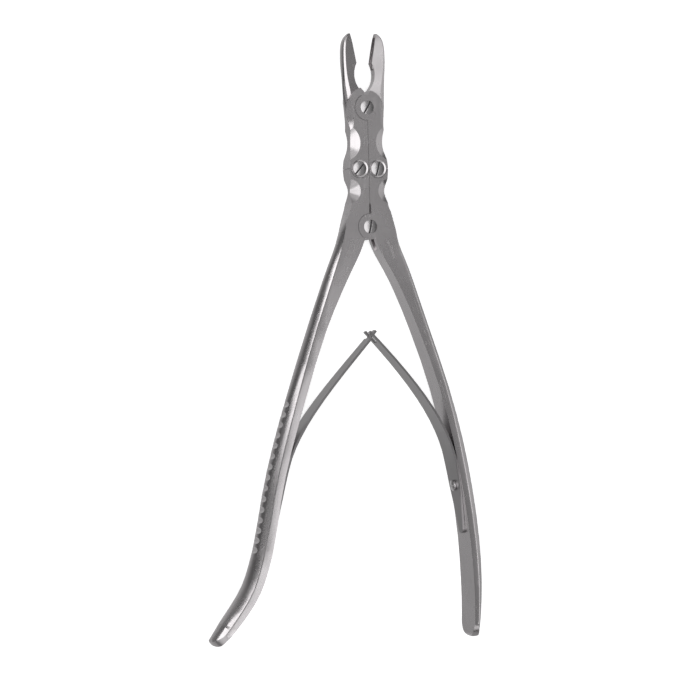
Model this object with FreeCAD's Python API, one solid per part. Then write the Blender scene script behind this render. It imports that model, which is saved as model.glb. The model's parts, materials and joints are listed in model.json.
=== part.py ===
# Bone rongeur with a double action: two cupped jaws, two bowed handles, four screw pivots
# and a pair of leaf springs that hold the handles apart.
#
# The instrument lies on its side. +Y runs from the grips to the jaws, +X to the right and +Z
# up through the depth of the head. Each sub-part is built about the handle pivot, with the
# middle of the depth at z = 0, and the whole is moved at the end so that the origin is at
# the middle of its footprint, on the surface that it lies on.
#
# Jaws and handles form a kite of four bars. The handles cross nothing: squeezing them spreads
# the two link pivots, which swings the tails of the jaws apart and brings their cups together.
import FreeCAD, Part
import math
import os

Vector = FreeCAD.Vector
LEFT, RIGHT = -1, 1
UP = Vector(0, 0, 1)

# Pivot layout, in millimetres, seen with the jaws and handles open
link_half_span = 3.74        # each link pivot stands this far from the middle line
handle_arm_rise = 22.5       # from the handle pivot up to the link pivots
jaw_arm_rise = 23.67         # from the link pivots up to the jaw pivot

# Layers of the head: a tongue between the two cheeks of a fork at every pivot
head_depth = 7.5
cheek_depth = 2.2
tongue_side_gap = 0.1        # between a tongue and each cheek
pivot_disc_radius = 5.0      # round lugs at the jaw pivot and the handle pivot
link_disc_radius = 3.62      # round lugs at the two link pivots
disc_gap = 0.15              # between a lug and the hollow that it turns in
middle_gap = 0.12            # between the left and the right half, where they close on a stop
link_seam_gap = 0.14         # between the end of a jaw and the end of its handle
running_gap = 0.04           # radial clearance of a shank in the bore that turns on it
open_pivot_gap = 0.07        # the same at the right link pivot, which closes the linkage
seat_gap = 0.02              # radial clearance of a screw in the piece that it is driven into

# Screws of the four pivots
screw_head_radius = 2.7
screw_head_sink = 0.9        # depth of the counterbore under the head
screw_dome = 0.35            # height of the domed top above the cheek
screw_shank_radius = 1.8
screw_thread_radius = 1.55
screw_end_recess = 0.15
screw_slot_width = 0.62
screw_slot_depth = 0.6
crown_steps = 2              # straight steps from the rim of a screw's dome to its middle
slot_turns = {"jaw": 31.0, "left_link": 41.0, "right_link": 14.6, "handle": 11.0}
link_ring_radius = 3.35      # bright countersunk ring round each link screw
link_ring_depth = 0.3

# Outer side of the head, as half widths at heights above the handle pivot
link_half_width = 8.0
jaw_tail_side = [(7.75, 25.2), (6.9, 29.3), (6.65, 33.5), (6.85, 36.8), (7.2, 39.8)]
handle_neck_side = [(7.8, 19.9), (7.3, 16.2), (7.2, 12.6), (7.55, 9.0), (8.05, 7.0)]
handle_seam_relief_y = 9.2   # below this height the seam between the handles opens up
handle_seam_relief = 0.3

# Conical scallops milled into the front and back faces: centre, radius there and slope
jaw_scoop = {"x": 10.4, "y": 32.5, "radius": 7.17, "slope": 32.0}
jaw_flank = {"x": 22.6, "y": 42.5, "radius": 17.0, "slope": 51.0}
handle_scoop = {"x": 8.25, "y": 13.8, "radius": 4.6, "slope": 38.0}

# Jaws. Each row is a cross-section: height above the handle pivot, half depth at the cutting
# rim, half width at the crest of the back, half depth at the back, width and fall of the bevel
# between them, and how far the round back bulges
jaw_edge_tilt = 10.48        # the cutting edge leans out by this angle from the jaw pivot
jaw_sections = [
    (43.0, 3.75, 7.80, 3.75, 0.20, 0.10, 0.10),
    (49.0, 2.30, 8.25, 2.85, 1.00, 0.50, 0.95),
    (53.0, 1.70, 8.50, 2.35, 1.35, 0.70, 0.85),
    (57.0, 1.60, 8.65, 2.20, 1.05, 0.55, 0.55),
    (61.0, 1.85, 8.75, 2.35, 0.80, 0.40, 0.35),
    (67.5, 2.00, 8.80, 2.45, 0.65, 0.35, 0.30),
    (71.0, 1.95, 8.45, 2.30, 0.60, 0.30, 0.28),
    (73.2, 1.75, 7.65, 2.00, 0.55, 0.28, 0.22),
    (74.5, 1.40, 6.55, 1.55, 0.40, 0.20, 0.15),
    (75.1, 1.10, 5.85, 1.15, 0.20, 0.10, 0.08),
]
jaw_row_steps = 2            # straight steps from one row to the next
jaw_back_steps = 4           # flats that make up the round back
left_plateau_radius = 8.0    # the full-depth ground face round the jaw pivot ends on this arc
right_plateau_radius = 6.7
throat_y = 59.2              # oval opening behind the cutting edges
throat_half_width = 4.25
throat_half_length = 7.0
throat_end_radius = 2.4
cup_y = 67.6                 # spoon-shaped hollow behind each cutting rim
cup_half_length = 6.7
cup_radius = 1.75
cup_sink = 1.0               # the axis of the hollow lies this far behind the rim
cup_end_steps = 3            # straight steps that round each end of the hollow

# Handles. Each row is a station of the strap: x and y on its flat inner face, depth across
# that face, width of the flat side band, thickness up to the crest of its round back, and
# how far the section has changed from the square head (0) to the drawn grip (1)
left_strap = [
    (-0.42, 5.0, 7.5, 8.25, 8.32, 0.0),
    (-1.0, 0.0, 7.5, 8.8, 9.05, 0.0),
    (-2.47, -4.8, 7.6, 8.6, 9.4, 0.08),
    (-4.6, -9.9, 7.8, 7.8, 9.1, 0.2),
    (-8.3, -16.7, 8.1, 6.6, 8.3, 0.32),
    (-12.35, -24.3, 8.5, 5.4, 7.4, 0.42),
    (-19.8, -39.8, 9.5, 4.0, 5.9, 0.58),
    (-29.3, -66.0, 10.7, 3.3, 5.7, 0.8),
    (-35.6, -85.0, 11.4, 3.0, 5.6, 0.92),
    (-40.5, -103.8, 11.9, 3.0, 5.6, 1.0),
    (-44.3, -122.6, 12.4, 3.2, 5.8, 1.0),
    (-46.6, -130.2, 12.8, 3.2, 5.7, 1.0),
    (-50.0, -138.6, 13.1, 3.0, 5.6, 1.0),
    (-55.6, -146.9, 13.2, 2.7, 5.4, 1.0),
    (-66.2, -159.2, 13.1, 1.7, 4.1, 1.0),
]
right_strap = [
    (0.5, 5.0, 7.5, 8.2, 8.27, 0.0),
    (1.05, 0.0, 7.5, 8.9, 9.1, 0.0),
    (2.35, -6.0, 7.65, 9.0, 9.7, 0.08),
    (4.5, -10.8, 7.8, 7.9, 9.2, 0.2),
    (8.0, -16.9, 8.1, 6.6, 8.3, 0.32),
    (11.9, -24.5, 8.5, 5.2, 7.2, 0.42),
    (18.6, -40.5, 9.5, 3.7, 5.8, 0.58),
    (26.7, -64.0, 10.6, 2.9, 5.4, 0.8),
    (31.7, -85.0, 11.4, 2.7, 5.8, 0.92),
    (35.0, -104.0, 11.9, 2.6, 5.9, 1.0),
    (37.3, -123.0, 12.3, 2.5, 5.8, 1.0),
    (38.2, -139.0, 13.2, 2.3, 5.4, 1.0),
    (38.3, -147.5, 13.2, 2.1, 4.9, 1.0),
    (37.7, -161.3, 13.2, 1.6, 3.5, 1.0),
]
strap_row_steps = 2          # straight steps from one row to the next
strap_back_steps = 6         # flats that make up the round back
grip_band_draft = 6.0        # angle at which the two side bands draw in towards the back
grip_rim_width = 0.55        # a low rim between band and back
grip_rim_rise = 0.16
fork_slot_reach_y = -9.2     # the slot for the tongue runs this far down the right handle

# Grip serrations: round file cuts across the crest of each handle
serration_count = 15
serration_pitch = 4.05
serration_first_y = -69.5
serration_radius = 1.75
serration_depth = 0.62

# Leaf springs. The foot lies on the inner face, the blade leaves it in one smooth bend
leaf_thickness = 0.9
leaf_seat_gap = 0.1
leaf_foot_end_y = -118.6
leaf_leaves_y = -92.0        # the leaf lifts off the handle here
leaf_hinge_share = 0.25      # share of the bend at which the blade starts to flex
leaf_root_pull = 16.0        # stiffness of the bend at the handle, as a handle length
leaf_tip_pull = 25.0         # the same at the tip
leaf_tip_lean = 43.0         # angle of the leaf to the middle line where the leaves cross
leaf_cross = (0.3, -42.2)    # where the two leaves cross
leaf_hinge_gap = 0.06
foot_steps = 3               # straight steps of the foot from its end to its screw, and so on
blade_steps = 8              # straight steps of the blade from its root to the crossing
left_leaf_widths = {"foot_end": 4.2, "foot_screw": 9.6, "foot": 10.6, "hinge": 9.9, "tip": 6.0}
right_leaf_widths = {"foot_end": 4.2, "foot_screw": 9.8, "foot": 10.8, "hinge": 10.2, "tip": 6.8}
left_tongue_width = 2.6
left_tongue_start = 1.9      # the left blade narrows this far before the crossing
left_tip_reach = 2.6         # and its tongue runs this far past it
right_tip_reach = 2.2
right_slot_gap = 0.35        # beside the tongue, on each side
right_slot_length = 3.4      # below the crossing

# Spring screws and the locating nib at the end of each foot
spring_screw_y = -101.6
spring_screw_head_radius = 2.15
spring_screw_head_height = 1.15
spring_screw_dome = 0.35
spring_screw_radius = 1.3
spring_screw_length = 4.2    # depth in the handle
spring_screw_hole_gap = 0.05
spring_screw_slot_width = 0.5
spring_screw_slot_depth = 0.55
nib_radius = 0.7
nib_length = 1.3
nib_hole_radius = 1.05
nib_hole_depth = 1.6

# Values that follow from the ones above
half_head = head_depth / 2
half_tongue_slot = half_head - cheek_depth
half_tongue = half_tongue_slot - tongue_side_gap
jaw_pivot_y = handle_arm_rise + jaw_arm_rise
half_middle_gap = middle_gap / 2
half_leaf = leaf_thickness / 2
tool_reach = 60.0            # cutters run this far past the metal
scoop_overrun = 1.0          # a conical cutter starts this far above the face
search_tolerance = 1e-7      # how closely a place on a curve is found


def place(x, y, z=0.0):
    return Vector(x, y, z)


def link_pivot(side):
    return place(side * link_half_span, handle_arm_rise)


def jaw_pivot():
    return place(0, jaw_pivot_y)


def handle_pivot():
    return place(0, 0)


def cylinder_between(centre, radius, low, high):
    return Part.makeCylinder(radius, high - low, place(centre.x, centre.y, low), UP)


def tongue_layer(centre, radius, half_depth):
    return cylinder_between(centre, radius, -half_depth, half_depth)


def cheek_layers(centre, radius, outer_half_depth):
    """The two outer layers of a round lug, one at the front and one at the back."""
    front = cylinder_between(centre, radius, half_tongue_slot, outer_half_depth)
    back = cylinder_between(centre, radius, -outer_half_depth, -half_tongue_slot)
    return [front, back]


def tongue_gaps(centre, radius):
    """Thin clearance layers between a tongue and the cheeks beside it."""
    front = cylinder_between(centre, radius, half_tongue, half_tongue_slot)
    back = cylinder_between(centre, radius, -half_tongue_slot, -half_tongue)
    return [front, back]


def prism(edges, half_depth):
    """A flat outline in the middle plane, thickened equally to both sides."""
    face = Part.Face(Part.Wire(Part.__sortEdges__(edges)))
    face.translate(place(0, 0, -half_depth))
    return face.extrude(place(0, 0, 2 * half_depth))


def polyline(points):
    return [Part.makeLine(a, b) for a, b in zip(points, points[1:])]


def arc_chain(points):
    """Arcs end to end, each through three points of the list. One point over gives a last line."""
    arcs = [Part.Arc(*points[first:first + 3]).toShape() for first in range(0, len(points) - 2, 2)]
    return arcs + polyline(points[2 * len(arcs):])


def closed_line(points):
    return Part.makePolygon(points + points[:1])


def arc_points(start, middle, end, steps):
    """Evenly spaced points along the arc through three points."""
    arc = Part.Arc(start, middle, end)
    turn = (arc.LastParameter - arc.FirstParameter) / steps
    return [arc.value(arc.FirstParameter + turn * step) for step in range(steps + 1)]


def oval(centre, half_width, half_length, end_radius):
    """An upright oval of four arcs: two round ends joined by two flatter sides."""
    side_radius = (half_length ** 2 + half_width ** 2 - 2 * half_length * end_radius) / (
        2 * (half_width - end_radius))
    end_centre = place(0, half_length - end_radius)
    side_centre = place(half_width - side_radius, 0)
    joint = end_centre + (end_centre - side_centre).normalize() * end_radius
    corners = [place(x * joint.x, y * joint.y) for x, y in ((1, -1), (1, 1), (-1, 1), (-1, -1))]
    middles = [place(half_width, 0), place(0, half_length), place(-half_width, 0), place(0, -half_length)]
    edges = []
    for start, middle, end in zip(corners, middles, corners[1:] + corners[:1]):
        edges.append(Part.Arc(centre + start, centre + middle, centre + end).toShape())
    return edges


class Table:
    """Sizes along a length: a smooth curve through each column, read at a place along it."""

    def __init__(self, places, rows):
        self.places = places
        self.columns = []
        for column in zip(*rows):
            curve = Part.BSplineCurve()
            curve.interpolate(Points=[place(x, y) for x, y in zip(places, column)], Parameters=places)
            self.columns.append(curve)

    def at(self, spot):
        return [curve.value(spot).y for curve in self.columns]

    def stations(self, steps):
        """The places of the rows, with evenly spaced ones between them."""
        spots = [low + (high - low) * step / steps
                 for low, high in zip(self.places, self.places[1:]) for step in range(steps)]
        return spots + self.places[-1:]


def cone_scoops(side, scoop):
    """A conical scallop in the front face and its mirror image in the back face."""
    drop = math.tan(math.radians(scoop["slope"]))
    foot = max(scoop["radius"] - half_head / drop, 0.0)
    high_radius = scoop["radius"] + scoop_overrun / drop
    height = (high_radius - foot) * drop
    start = half_head + scoop_overrun - height
    front = Part.makeCone(foot, high_radius, height, place(side * scoop["x"], scoop["y"], start), UP)
    return [front, front.mirror(place(0, 0), UP)]


def fork_bores(solid, centre, ring):
    """Counterbore, clearance hole and threaded hole of a fork that holds a pivot screw."""
    counterbore = cylinder_between(centre, screw_head_radius + seat_gap,
                                   half_head - screw_head_sink, half_head + tool_reach)
    shank_hole = cylinder_between(centre, screw_shank_radius + seat_gap, half_tongue_slot, half_head)
    thread_hole = cylinder_between(centre, screw_thread_radius + seat_gap, -half_head, -half_tongue_slot)
    cutters = [counterbore, shank_hole, thread_hole]
    if ring:
        cutters.append(Part.makeCone(screw_head_radius, link_ring_radius, link_ring_depth,
                                     place(centre.x, centre.y, half_head - link_ring_depth), UP))
    return solid.cut(cutters)


def slotted_screw(head_radius, head_height, dome, slot_width, slot_depth, shanks):
    """A domed screw on the Z axis: its head seated at z = 0, its slot along Y, its shanks below."""
    top = head_height + dome
    bulge_radius = (head_radius ** 2 + dome ** 2) / (2 * dome)
    profile = [place(0, 0, 0), place(head_radius, 0, 0)]
    for step in range(crown_steps + 1):
        x = head_radius * (1 - step / crown_steps)
        profile.append(place(x, 0, top - bulge_radius + math.sqrt(bulge_radius ** 2 - x ** 2)))
    screw = Part.Face(closed_line(profile)).revolve(place(0, 0), UP, 360)
    depth = 0
    for radius, length in shanks:
        screw = screw.fuse(Part.makeCylinder(radius, length, place(0, 0, depth), UP * -1))
        depth -= length
    slot = Part.makeBox(slot_width, 2 * head_radius, slot_depth + dome,
                        place(-slot_width / 2, -head_radius, top - slot_depth))
    return screw.removeSplitter().cut(slot)


def pivot_screw(centre, slot_turn):
    """The screw of one pivot: a plain shank through the tongue and a threaded end in the cheek."""
    seat_z = half_head - screw_head_sink
    end_z = screw_end_recess - half_head
    screw = slotted_screw(screw_head_radius, screw_head_sink, screw_dome, screw_slot_width, screw_slot_depth,
                          [(screw_shank_radius, seat_z + half_tongue_slot),
                           (screw_thread_radius, -half_tongue_slot - end_z)])
    screw.Placement = FreeCAD.Placement(place(centre.x, centre.y, seat_z), FreeCAD.Rotation(UP, -slot_turn))
    return screw


def jaw_tail(side):
    """The flat tail from the link pivot up to the jaw pivot."""
    low_y = handle_arm_rise + link_seam_gap / 2
    inner = side * half_middle_gap
    outer_points = [place(side * link_half_width, low_y)]
    outer_points += [place(side * x, y) for x, y in jaw_tail_side]
    root_y, _, root_half_width = jaw_sections[0][:3]
    outer_points.append(place(side * root_half_width, root_y))
    edges = arc_chain(outer_points)
    edges += polyline([outer_points[-1], place(inner, root_y), place(inner, low_y), outer_points[0]])
    return prism(edges, half_head)


def jaw_section(side, y, rim_half_depth, half_width, back_half_depth, bevel_width, bevel_fall, bulge):
    """A closed cross-section of a jaw at one height: two flat faces, two bevels, a round back."""
    inner = max(half_middle_gap, (y - jaw_pivot_y) * math.tan(math.radians(jaw_edge_tilt)))
    flat = back_half_depth - bevel_fall
    shoulder = half_width - bulge
    face_edge = shoulder - bevel_width
    rim_high, rim_low = [place(side * inner, y, z) for z in (rim_half_depth, -rim_half_depth)]
    face_high, face_low = [place(side * face_edge, y, z) for z in (back_half_depth, -back_half_depth)]
    back = arc_points(place(side * shoulder, y, flat), place(side * half_width, y),
                      place(side * shoulder, y, -flat), jaw_back_steps)
    return closed_line([rim_low, rim_high, face_high] + back + [face_low])


def plateau(side):
    """The full-depth ground face round the jaw pivot, inside the outline of the jaw."""
    radius = left_plateau_radius if side == LEFT else right_plateau_radius
    inner, outer, low_y = side * half_middle_gap, side * jaw_sections[0][2], jaw_sections[0][0]
    tilted = side * radius * math.tan(math.radians(jaw_edge_tilt))
    high_y = jaw_pivot_y + radius
    outline = [place(inner, low_y), place(inner, jaw_pivot_y), place(tilted, high_y),
               place(outer, high_y), place(outer, low_y), place(inner, low_y)]
    return prism(polyline(outline), half_head).common(tongue_layer(jaw_pivot(), radius, half_head))


def jaw_blade(side):
    """The working end: a loft that thins to the tip, the plateau, an oval throat and a cup."""
    table = Table([row[0] for row in jaw_sections], [row[1:] for row in jaw_sections])
    blade = Part.makeLoft([jaw_section(side, y, *table.at(y)) for y in table.stations(jaw_row_steps)],
                          True, True)
    throat = oval(place(0, throat_y), throat_half_width, throat_half_length, throat_end_radius)
    return blade.fuse(plateau(side)).cut(prism(throat, tool_reach)).cut(cup_hollow(side))


def cup_hollow(side):
    """A long round hollow with rounded ends that lies along the cutting edge."""
    straight = cup_half_length - cup_radius
    top = arc_points(place(cup_radius, straight),
                     place(cup_radius * math.sqrt(0.5), straight + cup_radius * math.sqrt(0.5)),
                     place(0, cup_half_length), cup_end_steps)
    profile = top + [place(point.x, -point.y) for point in reversed(top)]
    hollow = Part.Face(closed_line(profile)).revolve(place(0, 0), place(0, 1), 360)
    hollow.translate(place(side * cup_sink, 0))
    hollow.rotate(place(0, 0), UP, -side * jaw_edge_tilt)
    edge_x = (cup_y - jaw_pivot_y) * math.tan(math.radians(jaw_edge_tilt))
    hollow.translate(place(side * edge_x, cup_y))
    return hollow


def jaw(side):
    """One jaw. The right one is the fork at the jaw pivot and the left one is its tongue."""
    body = jaw_tail(side).fuse(jaw_blade(side)).removeSplitter()
    body = body.cut(cone_scoops(side, jaw_scoop) + cone_scoops(side, jaw_flank))
    hollow_radius = pivot_disc_radius + disc_gap
    if side == LEFT:
        body = body.cut(cheek_layers(jaw_pivot(), hollow_radius, tool_reach))
        body = body.fuse(tongue_layer(jaw_pivot(), pivot_disc_radius, half_tongue))
        body = body.cut(tongue_gaps(jaw_pivot(), hollow_radius))
        body = body.cut(tongue_layer(jaw_pivot(), screw_shank_radius + running_gap, tool_reach))
    else:
        body = body.cut(tongue_layer(jaw_pivot(), hollow_radius, half_tongue_slot))
        body = body.fuse(cheek_layers(jaw_pivot(), pivot_disc_radius, half_head))
        body = fork_bores(body, jaw_pivot(), False)
    link = link_pivot(side)
    body = body.cut(tongue_layer(link, link_disc_radius + disc_gap, half_tongue_slot))
    body = body.fuse(cheek_layers(link, link_disc_radius, half_head)).removeSplitter()
    return fork_bores(body, link, True)


class Strap:
    """A handle below its head: a smooth curve on its inner face, and its sizes along that curve."""

    def __init__(self, side):
        self.side = side
        rows = left_strap if side == LEFT else right_strap
        self.curve = Part.BSplineCurve()
        self.curve.interpolate([place(row[0], row[1]) for row in rows])
        self.table = Table(self.curve.getKnots(), [row[2:] for row in rows])

    def parameter_at_y(self, y):
        low, high = self.curve.FirstParameter, self.curve.LastParameter
        while high - low > search_tolerance:
            middle = (low + high) / 2
            if self.curve.value(middle).y > y:
                low = middle
            else:
                high = middle
        return middle

    def frame_at(self, parameter):
        """Point, direction towards the grip end, and outward normal on the inner face."""
        point = self.curve.value(parameter)
        along = self.curve.tangent(parameter)[0].normalize()
        outward = along.cross(UP).normalize()
        if outward.x * self.side < 0:
            outward = outward * -1
        return point, along, outward

    def section(self, parameter):
        """A flat inner face, two side bands that draw in, two low rims and a round back."""
        depth, band, thickness, share = self.table.at(parameter)
        point, _, outward = self.frame_at(parameter)
        half = depth / 2
        slope = math.tan(math.radians(share * grip_band_draft))
        flat = band - grip_rim_width
        band_edge, band_level = point + outward * flat, UP * (half - flat * slope)
        rim, rim_level = point + outward * band, UP * (half - band * slope + share * grip_rim_rise)
        back = arc_points(rim + rim_level, point + outward * thickness, rim - rim_level, strap_back_steps)
        front = [point - UP * half, point + UP * half, band_edge + band_level]
        return closed_line(front + back + [band_edge - band_level])

    def solid(self):
        sections = [self.section(spot) for spot in self.table.stations(strap_row_steps)]
        return Part.makeLoft(sections, True, True)


def rounded_end(strap):
    """Two cutters that round the end of a grip, seen square to its inner face and from the front."""
    point, along, outward = strap.frame_at(strap.curve.LastParameter)
    depth, _, thickness, _ = strap.table.at(strap.curve.LastParameter)
    cutters = []
    nose = thickness / 2
    for radius, middle, axis in ((depth / 2, point, outward), (nose, point + outward * nose, UP)):
        centre = middle - along * radius
        block = Part.makeBox(2 * radius, tool_reach, tool_reach, place(0, -tool_reach / 2, -tool_reach / 2))
        block.Placement = FreeCAD.Placement(centre, FreeCAD.Rotation(along, outward, UP, "XYZ"))
        core = Part.makeCylinder(radius, tool_reach, centre - axis * (tool_reach / 2), axis)
        cutters.append(block.cut(core))
    return cutters


def serrations(strap):
    """Round cuts across the crest, evenly spaced along the handle."""
    first = strap.parameter_at_y(serration_first_y)
    start = strap.curve.length(strap.curve.FirstParameter, first)
    cutters = []
    for index in range(serration_count):
        parameter = strap.curve.parameterAtDistance(start + index * serration_pitch)
        point, _, outward = strap.frame_at(parameter)
        reach = strap.table.at(parameter)[2] + serration_radius - serration_depth
        cutters.append(tongue_layer(point + outward * reach, serration_radius, tool_reach))
    return cutters


def handle_head(strap):
    """The flat head of a handle, from the end of its strap up to the link pivot."""
    side = strap.side
    point, _, outward = strap.frame_at(strap.curve.FirstParameter)
    corner = point + outward * strap.table.at(strap.curve.FirstParameter)[1]
    top_y = handle_arm_rise - link_seam_gap / 2
    inner = side * half_middle_gap
    relief = side * handle_seam_relief
    outer_points = [place(side * link_half_width, top_y)]
    outer_points += [place(side * half_width, height) for half_width, height in handle_neck_side]
    outer_points.append(corner)
    edges = arc_chain(outer_points)
    edges += polyline([corner, point, place(relief, handle_seam_relief_y - handle_seam_relief),
                       place(inner, handle_seam_relief_y), place(inner, top_y), outer_points[0]])
    return prism(edges, half_head)


def spring_holes(strap):
    """Threaded hole for the spring screw and the small round hole for the nib."""
    point, _, outward = strap.frame_at(strap.parameter_at_y(spring_screw_y))
    screw_hole = Part.makeCylinder(spring_screw_radius + seat_gap, spring_screw_length + leaf_thickness,
                                   point - outward * half_leaf, outward)
    point, _, outward = strap.frame_at(strap.parameter_at_y(leaf_foot_end_y))
    nib_hole = Part.makeCylinder(nib_hole_radius, nib_hole_depth + half_leaf,
                                 point - outward * half_leaf, outward)
    return [screw_hole, nib_hole]


def handle(side):
    """One handle. The right one is the fork at the handle pivot, the left one its tongue."""
    strap = Strap(side)
    body = strap.solid().cut(rounded_end(strap) + serrations(strap) + spring_holes(strap))
    body = body.fuse(handle_head(strap)).removeSplitter()
    body = body.cut(cone_scoops(side, handle_scoop))
    hollow_radius = pivot_disc_radius + disc_gap
    if side == LEFT:
        body = body.cut(cheek_layers(handle_pivot(), hollow_radius, tool_reach))
        body = body.fuse(tongue_layer(handle_pivot(), pivot_disc_radius, half_tongue))
        body = body.cut(tongue_gaps(handle_pivot(), hollow_radius))
        body = body.cut(tongue_layer(handle_pivot(), screw_shank_radius + running_gap, tool_reach))
    else:
        slot_end = strap.curve.value(strap.parameter_at_y(fork_slot_reach_y))
        slot = polyline([place(0, hollow_radius - disc_gap), place(hollow_radius, 0), slot_end,
                         place(-hollow_radius, slot_end.y), place(0, hollow_radius - disc_gap)])
        body = body.cut(tongue_layer(handle_pivot(), hollow_radius, half_tongue_slot))
        body = body.cut(prism(slot, half_tongue_slot))
        body = body.fuse(cheek_layers(handle_pivot(), pivot_disc_radius, half_head))
        body = fork_bores(body, handle_pivot(), False)
    link = link_pivot(side)
    bore_gap = running_gap if side == LEFT else open_pivot_gap
    body = body.cut(cheek_layers(link, link_disc_radius + disc_gap, half_head))
    body = body.fuse(tongue_layer(link, link_disc_radius, half_tongue))
    body = body.cut(tongue_gaps(link, link_disc_radius + disc_gap))
    return body.cut(tongue_layer(link, screw_shank_radius + bore_gap, tool_reach))


def bezier_frame(poles, share):
    """Point and direction on a cubic bend at a share of its length."""
    curve = Part.BezierCurve()
    curve.setPoles(poles)
    return curve.value(share), curve.tangent(share)[0].normalize()


class Leaf:
    """One leaf spring as a middle line with widths, split where the blade starts to flex."""

    def __init__(self, side):
        self.side = side
        self.strap = Strap(side)
        self.widths = left_leaf_widths if side == LEFT else right_leaf_widths
        self.poles = self.bend_poles()
        self.hinge, self.hinge_along = bezier_frame(self.poles, leaf_hinge_share)

    def on_handle(self, y):
        """Middle line of the foot at one height, and its direction towards the jaws."""
        point, along, outward = self.strap.frame_at(self.strap.parameter_at_y(y))
        return point - outward * (leaf_seat_gap + half_leaf), along * -1

    def bend_poles(self):
        start, direction = self.on_handle(leaf_leaves_y)
        tip = place(*leaf_cross)
        lean = math.radians(leaf_tip_lean)
        tip_direction = place(-self.side * math.sin(lean), math.cos(lean))
        return [start, start + direction * leaf_root_pull, tip - tip_direction * leaf_tip_pull, tip]

    def strip(self, stations):
        """The strip through stations of point, direction and width, cut to those widths."""
        across = [along.cross(UP).normalize() * half_leaf for _, along, _ in stations]
        points = [point for point, _, _ in stations]
        left_edge = [point - offset for point, offset in zip(points, across)]
        right_edge = [point + offset for point, offset in zip(points, across)]
        profile = prism(polyline(left_edge + right_edge[::-1] + left_edge[:1]), tool_reach)
        start, end = points[0] - stations[0][1] * half_leaf, points[-1] + stations[-1][1] * half_leaf
        heights = [start.y] + [point.y for point in points] + [end.y]
        widths = [width for _, _, width in stations]
        halves = [width / 2 for width in widths[:1] + widths + widths[-1:]]
        rim = [place(-tool_reach, y, half) for y, half in zip(heights, halves)]
        rim += [place(-tool_reach, y, -half) for y, half in zip(reversed(heights), reversed(halves))]
        outline = Part.Face(closed_line(rim)).extrude(place(2 * tool_reach, 0))
        return profile.common(outline)

    def width_on_bend(self, share):
        """Width of the leaf at a share of its bend: foot, then hinge, then tip."""
        widths = self.widths
        if share < leaf_hinge_share:
            return widths["foot"] + (widths["hinge"] - widths["foot"]) * share / leaf_hinge_share
        travelled = (share - leaf_hinge_share) / (1 - leaf_hinge_share)
        return widths["hinge"] + (widths["tip"] - widths["hinge"]) * travelled

    def on_bend(self, share):
        point, along = bezier_frame(self.poles, share)
        return point, along, self.width_on_bend(share)

    def foot(self):
        """The part that lies on the handle, held by a screw and located by a nib."""
        widths = self.widths
        spans = [(leaf_foot_end_y, "foot_end", spring_screw_y, "foot_screw"),
                 (spring_screw_y, "foot_screw", leaf_leaves_y, "foot")]
        stations = []
        for low_y, low_name, high_y, high_name in spans:
            for step in range(foot_steps):
                share = step / foot_steps
                width = widths[low_name] + share * (widths[high_name] - widths[low_name])
                stations.append((*self.on_handle(low_y + share * (high_y - low_y)), width))
        stations += [self.on_bend(leaf_hinge_share * step / foot_steps) for step in range(foot_steps + 1)]
        foot = self.strip(stations)
        end, _ = self.on_handle(leaf_foot_end_y)
        _, _, outward = self.strap.frame_at(self.strap.parameter_at_y(leaf_foot_end_y))
        nib = Part.makeCylinder(nib_radius, half_leaf + leaf_seat_gap + nib_length, end, outward)
        pad = Part.makeCylinder(widths["foot_end"] / 2, leaf_thickness, end - outward * half_leaf, outward)
        foot = foot.fuse([pad, nib])
        point, _, outward = self.strap.frame_at(self.strap.parameter_at_y(spring_screw_y))
        hole = Part.makeCylinder(spring_screw_radius + spring_screw_hole_gap, tool_reach,
                                 point - outward * (tool_reach / 2), outward)
        knuckle = tongue_layer(self.hinge, half_leaf + leaf_hinge_gap, tool_reach)
        return foot.cut([hole, knuckle])

    def blade(self):
        """The free part, from its rounded root to the tip that crosses the other leaf."""
        free = (1 - leaf_hinge_share) / blade_steps
        stations = [self.on_bend(leaf_hinge_share + free * step) for step in range(blade_steps + 1)]
        point, along, width = stations[-1]
        reach = left_tip_reach if self.side == LEFT else right_tip_reach
        stations.append((point + along * reach, along, width))
        root = tongue_layer(self.hinge, half_leaf, self.width_on_bend(leaf_hinge_share) / 2)
        return self.strip(stations).fuse(root), point, along


def left_blade():
    """The left blade ends in a narrow tongue that passes through the slot of the right one."""
    blade, point, along = Leaf(LEFT).blade()
    start = point - along * left_tongue_start
    across = along.cross(UP).normalize()
    cutters = []
    for level in (left_tongue_width / 2, -left_tongue_width / 2 - tool_reach):
        block = Part.makeBox(tool_reach, tool_reach, tool_reach, place(0, -tool_reach / 2, level))
        block.Placement = FreeCAD.Placement(start, FreeCAD.Rotation(along, across, UP, "XYZ"))
        cutters.append(block)
    return blade.cut(cutters)


def right_blade():
    """The right blade ends in two prongs with a slot between them."""
    blade, point, along = Leaf(RIGHT).blade()
    across = along.cross(UP).normalize()
    half_slot = left_tongue_width / 2 + right_slot_gap
    slot = Part.makeBox(tool_reach, tool_reach, 2 * half_slot, place(0, -tool_reach / 2, -half_slot))
    slot.Placement = FreeCAD.Placement(point - along * right_slot_length,
                                       FreeCAD.Rotation(along, across, UP, "XYZ"))
    return blade.cut(slot)


def spring_screw(side):
    """A small slotted screw that holds the foot of a leaf spring to its handle."""
    strap = Strap(side)
    point, along, outward = strap.frame_at(strap.parameter_at_y(spring_screw_y))
    gap_under_head = leaf_seat_gap + leaf_thickness + leaf_seat_gap
    screw = slotted_screw(spring_screw_head_radius, spring_screw_head_height - spring_screw_dome,
                          spring_screw_dome, spring_screw_slot_width, spring_screw_slot_depth,
                          [(spring_screw_radius, gap_under_head + spring_screw_length)])
    turn = FreeCAD.Rotation(along, UP, outward * -1, "ZYX")
    screw.Placement = FreeCAD.Placement(point - outward * gap_under_head, turn)
    return screw


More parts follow.
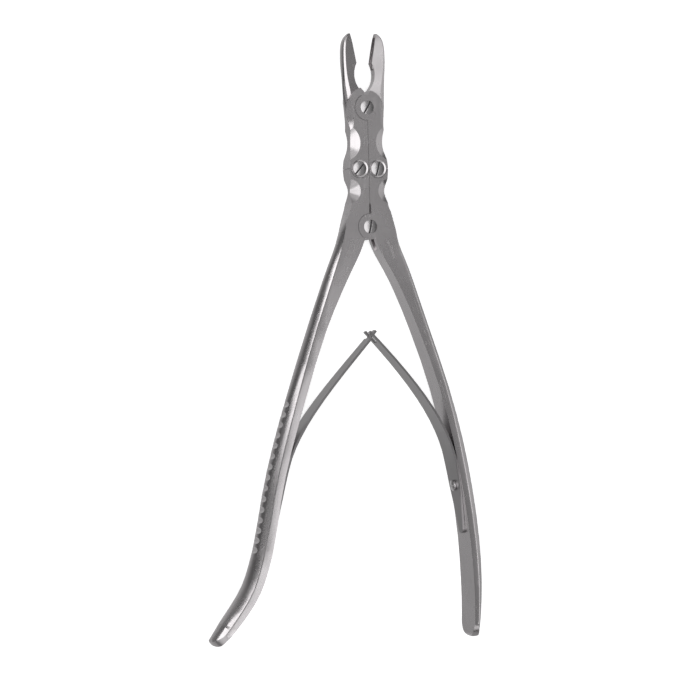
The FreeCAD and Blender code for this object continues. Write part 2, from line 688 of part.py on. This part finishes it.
def build():
    nodes = {
        "left_jaw": jaw(LEFT),
        "right_jaw": jaw(RIGHT),
        "left_handle": handle(LEFT),
        "right_handle": handle(RIGHT),
        "jaw_pivot_screw": pivot_screw(jaw_pivot(), slot_turns["jaw"]),
        "left_link_screw": pivot_screw(link_pivot(LEFT), slot_turns["left_link"]),
        "right_link_screw": pivot_screw(link_pivot(RIGHT), slot_turns["right_link"]),
        "handle_pivot_screw": pivot_screw(handle_pivot(), slot_turns["handle"]),
        "left_leaf_foot": Leaf(LEFT).foot(),
        "left_leaf_blade": left_blade(),
        "right_leaf_foot": Leaf(RIGHT).foot(),
        "right_leaf_blade": right_blade(),
        "left_spring_screw": spring_screw(LEFT),
        "right_spring_screw": spring_screw(RIGHT),
    }
    box = Part.makeCompound(list(nodes.values())).optimalBoundingBox(False, False)
    shift = place(-(box.XMin + box.XMax) / 2, -(box.YMin + box.YMax) / 2, -box.ZMin)
    for shape in nodes.values():
        shape.translate(shift)
    pivots = {
        "handle pivot": handle_pivot(),
        "jaw pivot": jaw_pivot(),
        "left link": link_pivot(LEFT),
        "right link": link_pivot(RIGHT),
        "left leaf hinge": Leaf(LEFT).hinge,
        "right leaf hinge": Leaf(RIGHT).hinge,
    }
    print("size", round(box.XLength, 2), round(box.YLength, 2), round(box.ZLength, 2))
    for name, point in pivots.items():
        spot = point + shift
        print(name, round(spot.x, 4), round(spot.y, 4), round(spot.z, 4))
    return nodes


def main():
    os.makedirs("parts", exist_ok=True)
    for name, shape in build().items():
        print(name, "solids", len(shape.Solids), "volume", round(shape.Volume, 2), "valid", shape.isValid())
        shape.exportStep("parts/" + name + ".step")


main()
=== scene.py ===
# %% [markdown]
# # A bone rongeur in satin steel
# A bone rongeur bites off small pieces of bone. Two cupped jaws turn on two long handles
# through four screw pivots, and a pair of leaf springs pushes the handles apart again.
# The engineering model is loaded first: its parts are the fixed frame, and everything that
# is added here only gives them their finish.

# %% Load the frame
import json
import math

import bmesh
import bpy
from mathutils import Matrix, Vector


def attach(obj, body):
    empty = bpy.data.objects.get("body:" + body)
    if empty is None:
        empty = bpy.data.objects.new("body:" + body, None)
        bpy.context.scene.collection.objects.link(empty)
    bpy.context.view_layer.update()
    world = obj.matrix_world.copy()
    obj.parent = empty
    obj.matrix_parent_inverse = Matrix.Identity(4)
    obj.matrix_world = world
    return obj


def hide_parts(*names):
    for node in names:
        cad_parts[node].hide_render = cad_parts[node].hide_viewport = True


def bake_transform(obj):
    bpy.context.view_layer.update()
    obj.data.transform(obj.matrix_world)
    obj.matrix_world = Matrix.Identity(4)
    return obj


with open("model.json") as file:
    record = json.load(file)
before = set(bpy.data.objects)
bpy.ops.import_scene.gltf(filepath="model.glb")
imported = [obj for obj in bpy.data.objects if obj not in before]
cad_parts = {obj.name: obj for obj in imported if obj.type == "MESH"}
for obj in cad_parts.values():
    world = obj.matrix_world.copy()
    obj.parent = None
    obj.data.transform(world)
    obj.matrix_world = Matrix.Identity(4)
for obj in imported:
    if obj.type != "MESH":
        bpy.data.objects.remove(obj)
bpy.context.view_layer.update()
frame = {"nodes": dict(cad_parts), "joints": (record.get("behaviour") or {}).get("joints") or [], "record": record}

MM = 0.001
nodes = frame["nodes"]
record = frame["record"]
pivots = {joint["name"]: Vector(joint["pos_m"]) for joint in frame["joints"]}
handle_pivot = pivots["handle_squeeze"]
body_of = {node: body for body, members in record["behaviour"]["bodies"].items() for node in members}
slot_of = {part["node"]: part["material_slot"] for part in record["subparts"]}

# %% [markdown]
# ## The camera
# The instrument lies on its side on a pale floor, and the photograph looks down on it from a
# little to the left of straight above, so that the broad inner face of the right handle and
# the round back of the left one both show. A long lens from one metre away keeps the handles
# from converging. The view is turned a little in its own plane, as the photograph is.

# %% Camera
camera_distance = 1.0
camera_yaw = math.radians(21.0)
camera_roll = math.radians(1.63)
sensor_width_mm = 36.0
image_pixels = 700
pixels_per_metre = 1 / 0.000387
clip_near, clip_far = 0.05, 20.0
aim = handle_pivot + Vector((-8.547, -47.489, 0.0)) * MM    # what lies in the middle of the picture

towards_camera = Vector((-math.sin(camera_yaw), 0, math.cos(camera_yaw)))
level_right = Vector((math.cos(camera_yaw), 0, math.sin(camera_yaw)))
level_up = Vector((0, 1, 0))
right = level_right * math.cos(camera_roll) - level_up * math.sin(camera_roll)
up = level_right * math.sin(camera_roll) + level_up * math.cos(camera_roll)
camera_data = bpy.data.cameras.new("camera")
camera_data.sensor_width = sensor_width_mm
camera_data.lens = sensor_width_mm * pixels_per_metre * camera_distance / image_pixels
camera_data.clip_start = clip_near
camera_data.clip_end = clip_far
camera = bpy.data.objects.new("camera", camera_data)
turn = Matrix((right, up, towards_camera)).transposed().to_4x4()
camera.matrix_world = Matrix.Translation(aim + towards_camera * camera_distance) @ turn
bpy.context.collection.objects.link(camera)
bpy.context.scene.camera = camera
print("lens in mm", round(camera_data.lens, 1))

# %% [markdown]
# ## The floor
# Satin steel has hardly any colour of its own: it shows the room, blurred. To the camera the
# floor is plain white. To the steel it is bright right below the instrument, nearly black low
# on the left and mid grey low on the right, as the sides of the grips show it.

# %% Floor
floor_size = 6.0
floor_top = -0.0002    # just below the lowest point of the instrument
floor_colour = (0.86, 0.86, 0.86, 1)
floor_glow = 0.65      # keeps the floor white where the instrument shades it
floor_levels = (       # what the steel sees, from the far left to the far right: place, brightness
    (0.0, 0.5), (0.01, 0.25), (0.03, 0.09), (0.12, 0.1), (0.25, 0.32), (0.4, 0.54), (0.52, 0.5),
    (0.75, 0.22), (0.92, 0.4), (1.0, 0.55),
)


def new_material(name):
    material = bpy.data.materials.new(name)
    material.use_nodes = True
    return material, material.node_tree.nodes, material.node_tree.links


def floor_material():
    """White to the camera; what the steel sees of it depends on the direction it looks in."""
    material, parts, links = new_material("pale_floor")
    shader = parts["Principled BSDF"]
    shader.inputs["Base Color"].default_value = floor_colour
    shader.inputs["Roughness"].default_value = 0.9
    shader.inputs["Specular IOR Level"].default_value = 0.1
    shader.inputs["Emission Color"].default_value = (1, 1, 1, 1)
    shader.inputs["Emission Strength"].default_value = floor_glow
    looking = parts.new("ShaderNodeNewGeometry")
    split = parts.new("ShaderNodeSeparateXYZ")
    left_to_right = parts.new("ShaderNodeMapRange")
    left_to_right.inputs["From Min"].default_value = 1.0
    left_to_right.inputs["From Max"].default_value = -1.0
    fade = parts.new("ShaderNodeValToRGB")
    stops = fade.color_ramp.elements
    while len(stops) < len(floor_levels):
        stops.new(0.5)
    for stop, (position, level) in zip(stops, floor_levels):
        stop.position = position
        stop.color = (level, level, level, 1)
    seen_by_steel = parts.new("ShaderNodeEmission")
    path = parts.new("ShaderNodeLightPath")
    mix = parts.new("ShaderNodeMixShader")
    links.new(looking.outputs["Incoming"], split.inputs["Vector"])
    links.new(split.outputs["X"], left_to_right.inputs["Value"])
    links.new(left_to_right.outputs["Result"], fade.inputs["Fac"])
    links.new(fade.outputs["Color"], seen_by_steel.inputs["Color"])
    links.new(path.outputs["Is Camera Ray"], mix.inputs["Fac"])
    links.new(seen_by_steel.outputs["Emission"], mix.inputs[1])
    links.new(shader.outputs["BSDF"], mix.inputs[2])
    links.new(mix.outputs["Shader"], parts["Material Output"].inputs["Surface"])
    return material


def make_floor(size, top):
    shape = bmesh.new()
    bmesh.ops.create_grid(shape, x_segments=2, y_segments=2, size=size / 2)
    bmesh.ops.translate(shape, vec=Vector((0, 0, top)), verts=shape.verts)
    mesh = bpy.data.meshes.new("floor")
    shape.to_mesh(mesh)
    shape.free()
    mesh.materials.append(floor_material())
    floor = bpy.data.objects.new("floor", mesh)
    bpy.context.collection.objects.link(floor)


make_floor(floor_size, floor_top)
print("floor", floor_size, "m wide")

# %% [markdown]
# ## The light
# In the photograph faces that lean to the left are white, faces that look straight up are mid
# grey, and faces that lean to the right are dark. So one large softbox hangs on the left above
# the instrument and a weaker one near the middle, while what stands further right is dim.
# Cards near the horizon light the sides and the ends.

# %% Softboxes
def softbox(name, angle, distance, width, length, radiance, forward=0.0):
    """An area light, seen from the instrument at an angle right of straight up, in degrees.

    `forward` moves it towards the jaws, or towards the grips where it is negative.
    """
    lean = math.radians(angle)
    direction = Vector((math.sin(lean), forward, math.cos(lean))).normalized()
    data = bpy.data.lights.new(name, "AREA")
    data.shape = "RECTANGLE"
    data.size = width
    data.size_y = length
    data.energy = radiance * math.pi * width * length
    side = Vector((0, 1, 0)).cross(direction).normalized()
    lamp = bpy.data.objects.new(name, data)
    lamp.matrix_world = Matrix.Translation(aim + direction * distance) @ Matrix(
        (side, direction.cross(side), direction)).transposed().to_4x4()
    bpy.context.collection.objects.link(lamp)


softbox("softbox_left", angle=-33, distance=1.6, width=1.5, length=2.2, radiance=1.6)
softbox("softbox_middle", angle=2.5, distance=1.7, width=0.6, length=2.0, radiance=1.15)
softbox("softbox_right", angle=26, distance=1.7, width=0.85, length=2.0, radiance=0.17)
softbox("card_right", angle=80, distance=1.6, width=0.8, length=2.2, radiance=0.6)
softbox("card_left", angle=-78, distance=1.6, width=0.6, length=0.9, radiance=2.2, forward=0.7)
softbox("card_near", angle=0, distance=1.6, width=2.0, length=0.9, radiance=0.7, forward=-1.4)
softbox("card_far", angle=0, distance=1.6, width=2.0, length=0.9, radiance=0.6, forward=1.4)
softbox("card_low_left", angle=-80, distance=1.6, width=0.5, length=1.2, radiance=0.3, forward=-0.2)

studio_glow = 0.085    # brightness of the room where no lamp stands
world = bpy.data.worlds.new("studio")
world.use_nodes = True
world.node_tree.nodes["Background"].inputs["Color"].default_value = (1, 1, 1, 1)
world.node_tree.nodes["Background"].inputs["Strength"].default_value = studio_glow
bpy.context.scene.world = world
bpy.context.scene.view_settings.view_transform = "Standard"

# %% [markdown]
# ## Shared surface effects
# Every steel here has been ground, so all of them share one effect: fine lines that run along
# the piece. A second effect adds the soft cloudy tone of steel that has been handled, and a
# third a few hair scratches. Each is a node group, so that a material is only a few values.

# %% Node tools
def new_group(name, inputs, outputs):
    """An empty effect with its sockets, and the two nodes that its inside starts and ends at."""
    group = bpy.data.node_groups.new(name, "ShaderNodeTree")
    group.interface.new_socket("Vector", in_out="INPUT", socket_type="NodeSocketVector")
    for label, value in inputs.items():
        group.interface.new_socket(label, in_out="INPUT", socket_type="NodeSocketFloat").default_value = value
    for label in outputs:
        group.interface.new_socket(label, in_out="OUTPUT", socket_type="NodeSocketFloat")
    return group, group.nodes.new("NodeGroupInput"), group.nodes.new("NodeGroupOutput")


def calculate(tree, operation, first, second):
    """One step of arithmetic; each side is a number or the socket that gives it."""
    node = tree.nodes.new("ShaderNodeMath")
    node.operation = operation
    for socket, value in zip(node.inputs, (first, second)):
        if isinstance(value, (int, float)):
            socket.default_value = value
        else:
            tree.links.new(value, socket)
    return node.outputs["Value"]


def noise(tree, vector, scale, detail):
    node = tree.nodes.new("ShaderNodeTexNoise")
    node.inputs["Detail"].default_value = detail
    tree.links.new(vector, node.inputs["Vector"])
    if isinstance(scale, (int, float)):
        node.inputs["Scale"].default_value = scale
    else:
        tree.links.new(scale, node.inputs["Scale"])
    return node.outputs["Fac"]


def stretched(tree, vector, along, turn=0.0):
    """Turned coordinates that change slowly along Y, so that a pattern is drawn out that way."""
    node = tree.nodes.new("ShaderNodeMapping")
    node.inputs["Rotation"].default_value = (0, 0, turn)
    node.inputs["Scale"].default_value = (1, along, 1)
    tree.links.new(vector, node.inputs["Vector"])
    return node.outputs["Vector"]


print("node tools", [tool.__name__ for tool in (new_group, calculate, noise, stretched)])

# %% Effects
noise_middle = 0.5
line_stretch = 0.03                  # along the piece the lines change this much slower than across it
scratch_stretch = 0.12
scratch_lean = math.radians(9)       # scratches run a little askew of the ground lines
scratch_width = 0.012                # share of a cell of the pattern
scratch_patch_scale = 140.0
scratch_patch_level = 0.6            # scratches show only where the patches rise above this
scratch_roughness = 0.1


def ground_lines():
    """Fine parallel lines, as a change of tone and as a height."""
    group, given, result = new_group("ground_lines", {"Scale": 5000.0, "Amount": 0.1}, ("Tone", "Height"))
    along = stretched(group, given.outputs["Vector"], line_stretch)
    lines = noise(group, along, given.outputs["Scale"], detail=3.0)
    centred = calculate(group, "SUBTRACT", lines, noise_middle)
    swing = calculate(group, "MULTIPLY", centred, given.outputs["Amount"])
    group.links.new(calculate(group, "ADD", swing, 1.0), result.inputs["Tone"])
    group.links.new(lines, result.inputs["Height"])
    return group


def handled_tone():
    """Soft clouds, darker where the steel is rougher."""
    group, given, result = new_group("handled_tone", {"Scale": 90.0, "Amount": 0.1}, ("Tone", "Roughness"))
    clouds = noise(group, given.outputs["Vector"], given.outputs["Scale"], detail=4.0)
    centred = calculate(group, "SUBTRACT", clouds, noise_middle)
    swing = calculate(group, "MULTIPLY", centred, given.outputs["Amount"])
    group.links.new(calculate(group, "SUBTRACT", 1.0, swing), result.inputs["Tone"])
    group.links.new(swing, result.inputs["Roughness"])
    return group


def hair_scratches():
    """Thin scratches in patches, as a height below the surface and as extra roughness."""
    group, given, result = new_group("hair_scratches", {"Scale": 260.0, "Depth": 1.0},
                                     ("Height", "Roughness"))
    cells = group.nodes.new("ShaderNodeTexVoronoi")
    cells.feature = "DISTANCE_TO_EDGE"
    askew = stretched(group, given.outputs["Vector"], scratch_stretch, scratch_lean)
    group.links.new(askew, cells.inputs["Vector"])
    group.links.new(given.outputs["Scale"], cells.inputs["Scale"])
    thin = calculate(group, "LESS_THAN", cells.outputs["Distance"], scratch_width)
    patches = noise(group, given.outputs["Vector"], scratch_patch_scale, detail=2.0)
    some = calculate(group, "GREATER_THAN", patches, scratch_patch_level)
    line = calculate(group, "MULTIPLY", thin, some)
    deep = calculate(group, "MULTIPLY", line, given.outputs["Depth"])
    group.links.new(calculate(group, "MULTIPLY", deep, -1.0), result.inputs["Height"])
    group.links.new(calculate(group, "MULTIPLY", deep, scratch_roughness), result.inputs["Roughness"])
    return group


effects = {group.name: group for group in (ground_lines(), handled_tone(), hair_scratches())}
print("effects", sorted(effects))

# %% [markdown]
# ## The steels
# The jaws and handles are satin ground steel of a slightly warm grey. The two grips lean away
# from each other, so each handle turns the ground lines to run along itself. The screws are
# turned bright, their slots get a painted near-black shade, and the leaf springs are given a darker grey.

# %% Steel
line_contrast = 0.14
satin = {"colour": (0.62, 0.595, 0.605), "roughness": 0.27, "line_scale": 4200.0, "line_depth": 0.004 * MM}
turned = {"line_scale": 7000.0, "line_depth": 0.002 * MM, "clouds": 0.06}


def use_effect(material, name, vector, **values):
    tree = material.node_tree
    node = tree.nodes.new("ShaderNodeGroup")
    node.node_tree = effects[name]
    tree.links.new(vector, node.inputs["Vector"])
    for label, value in values.items():
        node.inputs[label].default_value = value
    return node.outputs


def steel(name, colour, roughness, line_scale, line_depth, lean=0.0, clouds=0.1, scratches=1.0):
    """Ground steel whose lines run along a direction that leans left of +Y, in degrees."""
    material, parts, links = new_material(name)
    tree = material.node_tree
    shader = parts["Principled BSDF"]
    shader.inputs["Metallic"].default_value = 1.0
    place = parts.new("ShaderNodeTexCoord").outputs["Object"]
    along = stretched(tree, place, 1.0, math.radians(-lean))
    lines = use_effect(material, "ground_lines", along, Scale=line_scale, Amount=line_contrast)
    tone = use_effect(material, "handled_tone", place, Amount=clouds)
    marks = use_effect(material, "hair_scratches", along, Depth=scratches)
    shade = calculate(tree, "MULTIPLY", lines["Tone"], tone["Tone"])
    tint = parts.new("ShaderNodeVectorMath")
    tint.operation = "SCALE"
    tint.inputs[0].default_value = colour
    links.new(shade, tint.inputs["Scale"])
    links.new(tint.outputs["Vector"], shader.inputs["Base Color"])
    spread = calculate(tree, "ADD", tone["Roughness"], marks["Roughness"])
    links.new(calculate(tree, "ADD", spread, roughness), shader.inputs["Roughness"])
    bump = parts.new("ShaderNodeBump")
    bump.inputs["Distance"].default_value = line_depth
    bump.inputs["Strength"].default_value = 1.0
    links.new(calculate(tree, "ADD", lines["Height"], marks["Height"]), bump.inputs["Height"])
    links.new(bump.outputs["Normal"], shader.inputs["Normal"])
    return material


finishes = {
    "jaws": steel("satin_jaws", **satin),
    "left_handle": steel("satin_left_handle", **satin, lean=-18),
    "right_handle": steel("satin_right_handle", **satin, lean=14),
    "screws": steel("bright_screws", (0.66, 0.64, 0.65), roughness=0.24, **turned),
    # painted shade: the slots get a near-black colour in place of the shade inside them
    "slots": steel("painted_shade_slots", (0.12, 0.115, 0.12), roughness=0.45, **turned),
    # the leaf springs are given a darker grey than the handles
    "leaves": steel("darker_springs", (0.37, 0.36, 0.365), roughness=0.3, line_scale=5200.0,
                    line_depth=0.003 * MM, scratches=0.6),
}
print("finishes", sorted(finishes))

# %% [markdown]
# ## Rounded edges
# No ground edge is perfectly sharp, and the thin light lines along every edge in the
# photograph come from that small rounding. Each piece is copied from the frame, its seams are
# merged, and its outer corners are rounded a little. The copy then stands for the plain piece.

# %% Rounding
seam_gap = 0.002 * MM                 # points closer together than this are one
flat_angle = math.radians(0.2)        # faces that differ less than this are one
edge_angle = math.radians(38)         # a corner sharper than this is rounded
edge_radius = {"jaws": 0.07 * MM, "handles": 0.16 * MM, "screws": 0.07 * MM, "leaves": 0.07 * MM}


def merged_copy(node):
    shape = bmesh.new()
    shape.from_mesh(node.data)
    bmesh.ops.remove_doubles(shape, verts=shape.verts, dist=seam_gap)
    bmesh.ops.dissolve_limit(shape, angle_limit=flat_angle, verts=shape.verts, edges=shape.edges,
                             use_dissolve_boundaries=False)
    return shape


def round_edges(shape, radius):
    """Rounds the outer corners and returns how many there were."""
    corners = [edge for edge in shape.edges
               if edge.is_manifold and edge.is_convex and edge.calc_face_angle() > edge_angle]
    bmesh.ops.bevel(shape, geom=corners, offset=radius, offset_type="OFFSET", affect="EDGES", segments=2,
                    profile=0.5, material=-1, clamp_overlap=True)
    return len(corners)


print("edge radii in mm", {kind: round(radius / MM, 2) for kind, radius in edge_radius.items()})

# %% [markdown]
# ## Smooth shading
# The jaws and grips are ground in long narrow facets that should look like one curved surface,
# while the plates of the head have to stay flat. So every face corner gets the mean direction
# of the faces it runs smoothly into, and in that mean a broad flat face outweighs its
# neighbours and a narrow rounded edge hardly counts.

# %% Shading
even_width = 0.4 * MM             # faces narrower than this count less
broad_area = 6 * MM * MM          # and faces larger than this count more
least_weight = 0.001
crease_angle = {kind: math.radians(angle)    # faces that differ more than this meet in a crease
                for kind, angle in (("jaws", 22), ("handles", 19), ("screws", 30), ("leaves", 33))}


def face_weight(face):
    longest = max(edge.calc_length() for edge in face.edges)
    area = face.calc_area()
    narrow = min(2 * area / longest / even_width, 1.0)
    return narrow ** 2 * (1 + (area / broad_area) ** 2) + least_weight


def even_normals(shape, crease):
    """One normal per face corner: the mean of the faces around it that it runs smoothly into."""
    weights = {face: face_weight(face) for face in shape.faces}
    normals = []
    for face in shape.faces:
        for corner in face.loops:
            total = Vector()
            for other in corner.vert.link_loops:
                if other.face.normal.angle(face.normal, math.pi) < crease:
                    total += other.face.normal * weights[other.face] * other.calc_angle()
            normals.append(total.normalized())
    return normals


def show(shape, name, slot, crease, *materials):
    """The finished mesh as an object, smooth apart from its creases."""
    for face in shape.faces:
        face.smooth = True
    shape.normal_update()
    shape.faces.index_update()
    normals = even_normals(shape, crease)
    mesh = bpy.data.meshes.new(name)
    shape.to_mesh(mesh)
    shape.free()
    mesh.normals_split_custom_set(normals)
    for material in materials:
        mesh.materials.append(material)
    piece = bpy.data.objects.new(name, mesh)
    bpy.context.collection.objects.link(piece)
    return piece


print("creases in degrees", {kind: round(math.degrees(angle)) for kind, angle in crease_angle.items()})

# %% [markdown]
# ## Jaws and handles
# The four large pieces are finished first, each on the body that it moves with. The left grip
# runs out in a slim rounded tip, so the last stretch of its copy is cut into short steps and
# made shallower towards the end, within the length that the frame gives it.

# %% Jaws and handles
tip_direction = Vector((-0.653, -0.757, 0))    # out of the end of the left grip
tip_reach = 11.0 * MM       # length over which it narrows
blunt_reach = 6.6 * MM      # length over which its plain end is rounded
tip_steps = 8
tip_least = 0.02 * MM       # keeps the foremost points off the middle


def round_share(away, reach):
    """How deep a rounded end of this reach is at a distance from its foremost point, from 0 to 1."""
    return math.sqrt(1 - (1 - min(max(away, tip_least), reach) / reach) ** 2)


def draw_in_tip(shape, out):
    end = max(vert.co.dot(out) for vert in shape.verts)
    for step in range(tip_steps):
        bmesh.ops.bisect_plane(shape, geom=shape.verts[:] + shape.edges[:] + shape.faces[:],
                               plane_co=out * (end - tip_reach * (step + 0.5) / tip_steps), plane_no=out)
    for vert in shape.verts:
        away = end - vert.co.dot(out)
        if away < tip_reach:
            depth = vert.co.z - handle_pivot.z
            vert.co.z = handle_pivot.z + depth * round_share(away, tip_reach) / round_share(away, blunt_reach)


def ground(name, kind, finish):
    shape = merged_copy(nodes[name])
    count = round_edges(shape, edge_radius[kind])
    if name == "left_handle":
        draw_in_tip(shape, tip_direction)
    piece = show(shape, name + "_ground", slot_of[name], crease_angle[kind], finishes[finish])
    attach(piece, body_of[name])
    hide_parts(name)
    print(name, "rounded", count, "corners, faces", len(piece.data.polygons))


ground("left_jaw", "jaws", "jaws")
ground("right_jaw", "jaws", "jaws")
ground("left_handle", "handles", "left_handle")
ground("right_handle", "handles", "right_handle")

# %% [markdown]
# ## Screws
# Each screw is turned bright. Its driver slot gets a painted near-black shade, standing in for the
# little light that gets into it. The slot is found by its shape: walls that stand up inside the
# head, and a floor that lies well below the dome.

# %% Screws
slot_depth = 1.05 * MM      # from the top of a dome down to below the floor of its slot
slot_floor_share = 0.55     # the floor lies deeper than this share of that depth
slot_reach = 0.8            # the walls lie within this share of the head's radius
wall_rise = 0.3             # a wall's normal rises less than this
floor_rise = 0.9            # and a floor's more than this


def mark_slot(shape):
    """Gives the faces of the driver slot the second material, a painted near-black shade."""
    low, high = [Vector([pick(v.co[i] for v in shape.verts) for i in range(3)]) for pick in (min, max)]
    axis = (low + high) / 2
    radius = max(high.x - low.x, high.y - low.y) / 2
    for face in shape.faces:
        centre = face.calc_center_median()
        depth = high.z - centre.z
        is_wall = abs(face.normal.z) < wall_rise and (centre - axis).xy.length < slot_reach * radius
        is_floor = face.normal.z > floor_rise and depth > slot_floor_share * slot_depth
        if depth < slot_depth and (is_wall or is_floor):
            # painted shade: the slot's walls and floor take the near-black material
            face.material_index = 1


screws = [name for name in nodes if "screw" in name]
for name in screws:
    shape = merged_copy(nodes[name])
    mark_slot(shape)
    round_edges(shape, edge_radius["screws"])
    piece = show(shape, name + "_turned", slot_of[name], crease_angle["screws"], finishes["screws"],
                 finishes["slots"])
    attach(piece, body_of[name])
    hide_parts(name)
print("screws", screws)

# %% [markdown]
# ## Leaf springs
# Each leaf spring is one strip. The frame splits it into a clamped foot and a free blade that
# meet at a hinge, so the two are joined here into one strip by a short sleeve over the hinge.

# %% Leaves
sleeve_half_length = 1.6 * MM
sleeve_skin = 0.006 * MM          # how far it stands proud of the strip
leaf_thickness = 0.9 * MM
straight_from = 2 * MM            # the strip's direction is read between these distances from the hinge
straight_to = 9 * MM


def middle_of_stretch(shape, hinge):
    """Middle of the points at either side of the hinge, as seen from above."""
    points = [v.co for v in shape.verts if straight_from < (v.co - hinge).xy.length < straight_to]
    middle = sum(points, Vector()) / len(points)
    return Vector((middle.x, middle.y, hinge.z))


def add_sleeve(shape, hinge, along, half_width):
    """A short closed box round the strip at its hinge."""
    across = along.cross(Vector((0, 0, 1)))
    box = bmesh.ops.create_cube(shape, size=1.0)["verts"]
    size = (2 * sleeve_half_length, leaf_thickness + 2 * sleeve_skin, 2 * (half_width + sleeve_skin))
    bmesh.ops.scale(shape, vec=Vector(size), verts=box)
    place = Matrix.Translation(hinge) @ Matrix((along, across, Vector((0, 0, 1)))).transposed().to_4x4()
    bmesh.ops.transform(shape, matrix=place, verts=box)


def leaf(side):
    hinge = pivots[side + "_leaf_flex"]
    foot, blade = [merged_copy(nodes[side + end]) for end in ("_leaf_foot", "_leaf_blade")]
    along = (middle_of_stretch(blade, hinge) - middle_of_stretch(foot, hinge)).normalized()
    half_width = max(v.co.z - hinge.z for v in blade.verts if (v.co - hinge).xy.length < MM)
    round_edges(foot, edge_radius["leaves"])
    round_edges(blade, edge_radius["leaves"])
    part = bpy.data.meshes.new("blade_part")
    blade.to_mesh(part)
    blade.free()
    foot.from_mesh(part)
    add_sleeve(foot, hinge, along, half_width)
    strip = show(foot, side + "_leaf_spring", "spring_steel", crease_angle["leaves"], finishes["leaves"])
    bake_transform(strip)
    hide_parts(side + "_leaf_foot", side + "_leaf_blade")
    return strip


for side in ("left", "right"):
    strip = leaf(side)
    print(strip.name, "faces", len(strip.data.polygons))
